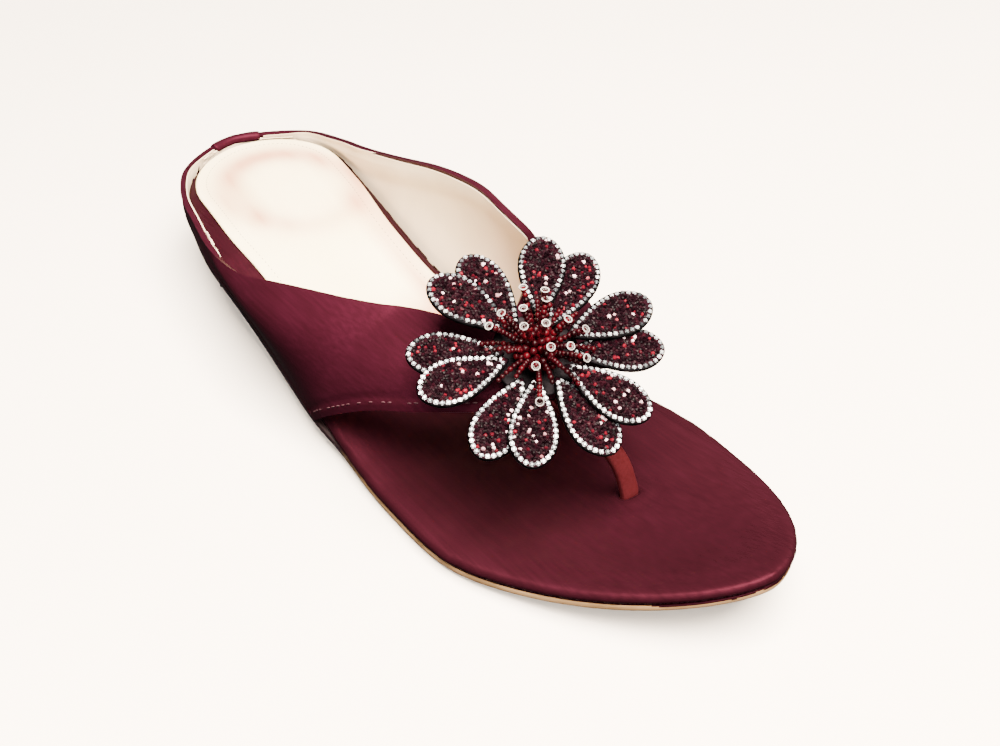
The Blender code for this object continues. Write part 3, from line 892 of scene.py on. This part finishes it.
def paint_sock_shade(sock):
    """How much painted pink shade the sock has at each place: a ring round the heel's dish, a line along the arch, and
    the end under the flower.
    """
    mesh = sock.data
    painted_shade = mesh.attributes.new("painted_shade", "FLOAT", "POINT")
    values = []
    for vertex in mesh.vertices:
        x, y = vertex.co.x, vertex.co.y
        ring = math.hypot((x - DISH_MIDDLE) / DISH_LONG, y) - DISH_RADIUS
        dish = 0.75 * bell(ring, DISH_WIDE) * smooth((0.050 - x) / 0.03)
        arch = 0.6 * bell(y - ARCH_SIDE + ARCH_SLANT * (x - 0.06), ARCH_WIDE) * smooth((x - 0.02) / 0.02)
        end = 0.9 * smooth((x - END_FROM) / END_OVER)
        values.append(min(dish + arch + end, 1.0))
    painted_shade.data.foreach_set("value", values)


# The toe post


def make_post():
    """A flat strap of satin, with the cream edge of its lining along the back."""
    post = copy_of("toe_post", "toe_post_strap")
    rounded(post, 2)
    mesh = post.data
    for polygon in mesh.polygons:
        polygon.material_index = 1 if polygon.normal.x < POST_BACK else 0
    dress(post, POST_SATIN, EDGE_CREAM)
    return post


# The flower


def flower_frame():
    """The flower's axis, its middle at the foot of the petals, and the directions of its plane."""
    axis = Vector((LEAN_TOE, LEAN_MEDIAL, 0))
    axis.z = math.sqrt(1 - axis.length_squared)
    ahead = Vector((1, 0, 0))
    ahead = (ahead - axis * ahead.dot(axis)).normalized()
    hub = copy_of("flower_centre", "hub_scratch")
    points = [v.co for v in hub.data.vertices]
    middle = sum(points, Vector()) / len(points)
    foot = min(p.dot(axis) for p in points)
    middle = middle + axis * (foot - middle.dot(axis))
    bpy.data.objects.remove(hub)
    return middle, axis, ahead, axis.cross(ahead)


def petal_half(share):
    """Half width of a petal from its inner end (0) to its tip (1)."""
    bend = math.log(0.5) / math.log(PETAL_WIDEST)
    return PETAL_WIDTH / 2 * math.sqrt(max(math.sin(math.pi * share**bend), 0.0))


def petal_outline(inset):
    """The outline of a petal moved inwards, as (out, across) points from one inner end round the tip to the other."""
    steps = 60
    half = [(1 - math.cos(math.pi * k / steps)) / 2 for k in range(steps + 1)]
    upper_side = [Vector((PETAL_INNER + (PETAL_TIP - PETAL_INNER) * s, petal_half(s), 0)) for s in half]
    line = upper_side + [Vector((p.x, -p.y, 0)) for p in reversed(upper_side[:-1])]
    made = []
    for i in range(1, len(line) - 1):
        along = (line[i + 1] - line[i - 1]).normalized()
        made.append(line[i] + Vector((along.y, -along.x, 0)) * inset)
    return made


def dress_petal(node, heading, flower):
    """A stamped plate with a rim of clear stones and a bed of crushed red glass."""
    middle, axis, ahead, side = flower
    out = ahead * math.cos(heading) + side * math.sin(heading)
    across = axis.cross(out)
    plate = copy_of(node, node + "_plate")
    rounded(plate, 1)
    dress(plate, GUNMETAL, RESIN)
    edge_line = points_tree(petal_outline(0.0))
    for polygon in plate.data.polygons:
        apart = polygon.center - middle
        flat = Vector((apart.dot(out), apart.dot(across), 0))
        if polygon.normal.dot(axis) > 0.8 and edge_line.find(flat)[2] > 0.7 * RIM_INSET:
            polygon.material_index = 1
    part(plate, "backing", node)
    tree = tree_of(plate)

    def on_plate(point):
        start = middle + out * point.x + across * point.y + axis * 0.02
        found = tree.ray_cast(start, -axis)
        return found[0]

    rim = []
    line = [p for p in petal_outline(RIM_INSET) if p.x > RIM_START]
    for point, along in even(line, RIM_PITCH, closed=False):
        place = on_plate(point)
        if place is None:
            continue
        lean = axis + (out * point.x + across * point.y).normalized() * RIM_LEAN
        spin = out * math.cos(random.uniform(0, 1)) + across * math.sin(random.uniform(0, 1))
        rim.append((turned(place - axis * RIM_SINK, spin, lean, RIM_STONE), random.uniform(0.2, 0.93)))
    stones = many(node + "_rim_stones", STONE, rim)
    dress(stones, CLEAR_STONE)
    part(stones, "crystal")

    fill = []
    rows = int(PETAL_WIDTH / FILL_PITCH) + 2
    columns = int((PETAL_TIP - PETAL_INNER) / FILL_PITCH) + 2
    for i in range(columns):
        for j in range(-rows, rows + 1):
            x = FILL_START + i * FILL_PITCH * 0.9 + random.uniform(-0.25, 0.25) * FILL_PITCH
            y = (j + 0.5 * (i % 2)) * FILL_PITCH + random.uniform(-0.25, 0.25) * FILL_PITCH
            share = (x - PETAL_INNER) / (PETAL_TIP - PETAL_INNER)
            inset = FILL_INSET if x > RIM_START + RIM_PITCH else FILL_EDGE
            if not 0 < share < 1 or abs(y) > petal_half(share):
                continue
            if edge_line.find(Vector((x, y, 0)))[2] < inset:
                continue
            place = on_plate(Vector((x, y, 0)))
            if place is None:
                continue
            tilt = Vector([random.uniform(-FILL_TILT, FILL_TILT) for k in range(3)])
            spin = Vector([random.uniform(-1, 1) for k in range(3)])
            size = FILL_PITCH * random.uniform(0.80, 1.25)
            # A chip's tone is drawn at random; the highest tones take the ramp's painted glints
            tone = random.random() ** 1.2
            fill.append((turned(place - axis * FILL_SINK, spin, axis + tilt, size), tone))
    chips = many(node + "_crushed_glass", CHIPS, fill)
    dress(chips, RED_CHIP)
    part(chips, "crystal")


# Where the tip of each long spray is from the flower's middle, in mm: (to the toe, to the medial side, up the axis)
SPRAYS = (
    (-11.7, 2.8, 15.0),
    (-8.3, 7.4, 14.0),
    (-6.4, 6.4, 13.0),
    (-6.9, -0.9, 15.0),
    (-9.3, -5.9, 14.0),
    (-8.5, -10.3, 13.0),
    (-2.3, -4.4, 16.0),
    (0.1, 0.7, 16.0),
    (1.3, 7.4, 13.0),
    (5.4, 10.3, 11.0),
    (6.1, -2.5, 16.0),
    (7.7, 3.1, 13.0),
    (12.0, 5.2, 11.0),
    (7.4, -8.0, 14.0),
    (14.4, -11.7, 10.0),
)


def make_sprays(flower):
    """Wires strung with red beads from the middle of the flower, each ending in a clear ring."""
    middle, axis, ahead, side = flower
    beads, rings = [], []
    for toe, medial, rise in SPRAYS:
        tip = middle + (ahead * toe + side * medial + axis * rise) * MM
        foot = middle + axis * SPRAY_FOOT + (ahead * toe + side * medial) * MM * 0.22
        knee = foot.lerp(tip, 0.5) + axis * SPRAY_BEND
        line = [
            foot * (1 - t) ** 2 + knee * (2 * t * (1 - t)) + tip * t * t for t in [k / 24 for k in range(25)]
        ]
        for point, along in even(line, BEAD_PITCH, closed=False):
            size = random.uniform(1.4, 1.8) * MM
            beads.append((turned(point, axis, along, size), random.random()))
        up = (line[-1] - line[-4]).normalized()
        face = (up + axis * 1.3).normalized()
        rings.append((turned(tip, side, face, RING_SIZE), random.uniform(0.4, 1.0)))
        rings.append((turned(tip - face * 0.2 * MM, side, face, RING_CORE), random.uniform(0.1, 0.5)))
    for k in range(SHORT_SPRAYS):
        angle = 2 * math.pi * (k + 0.5) / SHORT_SPRAYS
        way = ahead * math.cos(angle) + side * math.sin(angle)
        foot = middle + (axis + way) * SPRAY_FOOT
        tip = middle + axis * (4.0 + 3.0 * (k % 3)) * MM + way * (15.0 - 2.5 * (k % 3)) * MM
        shares = [t / 12 for t in range(13)]
        line = [foot.lerp(tip, t) + axis * math.sin(math.pi * t) * 1.5 * MM for t in shares]
        for point, along in even(line, BEAD_PITCH, closed=False):
            beads.append((turned(point, axis, along, random.uniform(1.3, 1.7) * MM), random.random() * 0.8))
    for k in range(KNOT_BEADS):
        angle, lift = k * GOLDEN_TURN, 1 - (k + 0.5) / KNOT_BEADS
        reach = math.sqrt(1 - lift * lift)
        way = ahead * (math.cos(angle) * reach) + side * (math.sin(angle) * reach) + axis * lift
        place = middle + axis * KNOT_RISE + way * KNOT_RADIUS
        beads.append((turned(place, side, way, random.uniform(1.7, 2.2) * MM), random.random()))
    knot = many("red_bead_sprays", BEAD, beads, sharp=False)
    dress(knot, RED_BEAD)
    part(knot, "crystal", "flower_centre")
    tips = many("clear_ring_beads", RING, rings, sharp=False)
    dress(tips, RING_BEAD)
    part(tips, "crystal")


# Putting the shoe together

nodes_copy = {node: copy_of(node, node + "_scratch") for node in ("footbed", "back_tab")}

upper, top_mark = make_upper()
out_mark, front_points = shape_upper(upper)
part(upper, "satin", "upper")
lining, lining_area = make_lining(upper, top_mark, out_mark, front_points)
part(lining, "sock")
stitches = make_hem_stitches(upper, out_mark)
part(stitches, "satin")
dress(upper, SATIN)
for polygon in upper.data.polygons:
    polygon.material_index = 0

footbed = make_footbed()
dress(footbed, BED_SATIN)
part(footbed, "satin", "footbed")

sock = make_sock()
paint_sock_shade(sock)
dress(sock, SOCK)
part(sock, "sock", "heel_sock")
sock_stitches = make_sock_stitches(sock)
part(sock_stitches, "sock")

outsole = copy_of("outsole", "tan_outsole")
rounded(outsole, 2)
wrap_edge(outsole)
part(outsole, "outsole", "outsole")

heel = copy_of("heel_block", "covered_heel")
crease_over(heel, 60, 0.85)
rounded(heel, 2)
dress(heel, SATIN)
part(heel, "satin", "heel_block")

top_lift = copy_of("top_lift", "rubber_top_lift")
edit(top_lift)
bpy.ops.mesh.select_all(action="DESELECT")
bpy.ops.mesh.select_mode(type="EDGE")
bpy.ops.mesh.edges_select_sharp(sharpness=math.radians(60))
bpy.ops.mesh.bevel(offset=0.4 * MM, segments=2, affect="EDGES")
done()
only(top_lift)
bpy.ops.object.shade_smooth_by_angle(angle=math.radians(35))
dress(top_lift, RUBBER)
part(top_lift, "top_lift", "top_lift")

tab = copy_of("back_tab", "satin_back_tab")
rounded(tab, 2)
dress(tab, SATIN)
part(tab, "satin", "back_tab")

post = make_post()
part(post, "post", "toe_post")

flower = flower_frame()
backing = copy_of("flower_backing", "flower_plate")
crease_over(backing, 40, 0.7)
rounded(backing, 2)
dress(backing, GUNMETAL)
part(backing, "backing", "flower_backing")
for ring_name, first in (("petal_low", LOW_TURN), ("petal_top", TOP_TURN)):
    for k in range(PETALS):
        dress_petal(f"{ring_name}_{k + 1}", first + 2 * math.pi * k / PETALS, flower)
make_sprays(flower)

for scratch in nodes_copy.values():
    bpy.data.objects.remove(scratch)

# Floor, light and camera

FLOOR_SIZE = 8.0
BACKDROP_RADIUS = 5.0


def floor_finish():
    """Studio paper, lit from behind a little: warm white, nearly without texture."""
    made, surface = finish_of("studio_paper")
    place = add(made, "ShaderNodeTexCoord")
    cloud = add(made, "ShaderNodeTexNoise", {"Vector": place.outputs["Object"], "Scale": 8.0, "Detail": 2.0})
    tint = ramp(made, cloud.outputs["Fac"], ((0.3, linear("#e6dccf")), (0.7, linear("#e9dfd3"))))
    set_inputs(
        made,
        surface,
        Base_Color=tint.outputs["Color"],
        Roughness=0.9,
        Emission_Color=linear("#fff0e0"),
        Emission_Strength=0.25,
    )
    return made


def backdrop_finish():
    """The same paper, far behind the shoe."""
    made, surface = finish_of("studio_backdrop_paper")
    set_inputs(
        made,
        surface,
        Base_Color=linear("#000000"),
        Roughness=1.0,
        Emission_Color=linear("#ffeedb"),
        Emission_Strength=7.6,
    )
    return made


bpy.ops.mesh.primitive_plane_add(size=FLOOR_SIZE, location=(0, 0, -0.1 * MM))
floor = bpy.context.active_object
floor.name = "studio_floor"
edit(floor)
bpy.ops.mesh.subdivide(number_cuts=3)
done()
bpy.ops.object.transform_apply(location=True, rotation=True, scale=True)
bpy.ops.mesh.primitive_uv_sphere_add(segments=48, ring_count=24, radius=BACKDROP_RADIUS)
backdrop = bpy.context.active_object
backdrop.name = "studio_backdrop"
for stage, finish in ((floor, floor_finish()), (backdrop, backdrop_finish())):
    dress(stage, finish)
    # Paper this pale would throw light under the shoe, which the studio of the photograph doesn't
    stage.visible_diffuse = False
    stage.visible_glossy = False

world = bpy.data.worlds.new("pale_room")
bpy.context.scene.world = world
world.use_nodes = True
sky = world.node_tree.nodes["Background"]
sky.inputs["Color"].default_value = linear("#fbf6f0")
sky.inputs["Strength"].default_value = 0.20

LIGHTS = (
    # name, place, looks at, size, watts, colour
    ("key_box", (0.45, 0.00, 1.00), (0.11, 0.0, 0.02), 0.85, 195.0, "#fff1e2"),
    ("front_box", (0.75, -0.45, 0.45), (0.13, 0.0, 0.03), 0.30, 10.0, "#fff8f2"),
)
for name, place, target, size, watts, colour in LIGHTS:
    bpy.ops.object.light_add(type="AREA", location=place)
    lamp = bpy.context.active_object
    lamp.name = name
    lamp.rotation_euler = (Vector(target) - Vector(place)).to_track_quat("-Z", "Y").to_euler()
    lamp.data.size = size
    lamp.data.energy = watts
    lamp.data.color = linear(colour)[:3]

bpy.ops.object.camera_add(location=CAMERA_PLACE)
camera = bpy.context.active_object
turn = (
    Matrix.Rotation(CAMERA_AZIMUTH, 4, "Z")
    @ Matrix.Rotation(math.pi / 2 - CAMERA_HEIGHT, 4, "X")
    @ Matrix.Rotation(CAMERA_ROLL, 4, "Z")
)
camera.rotation_euler = turn.to_euler()
camera.data.lens = LENS
camera.data.sensor_width = SENSOR
camera.data.clip_start = 0.01
bpy.context.scene.camera = camera
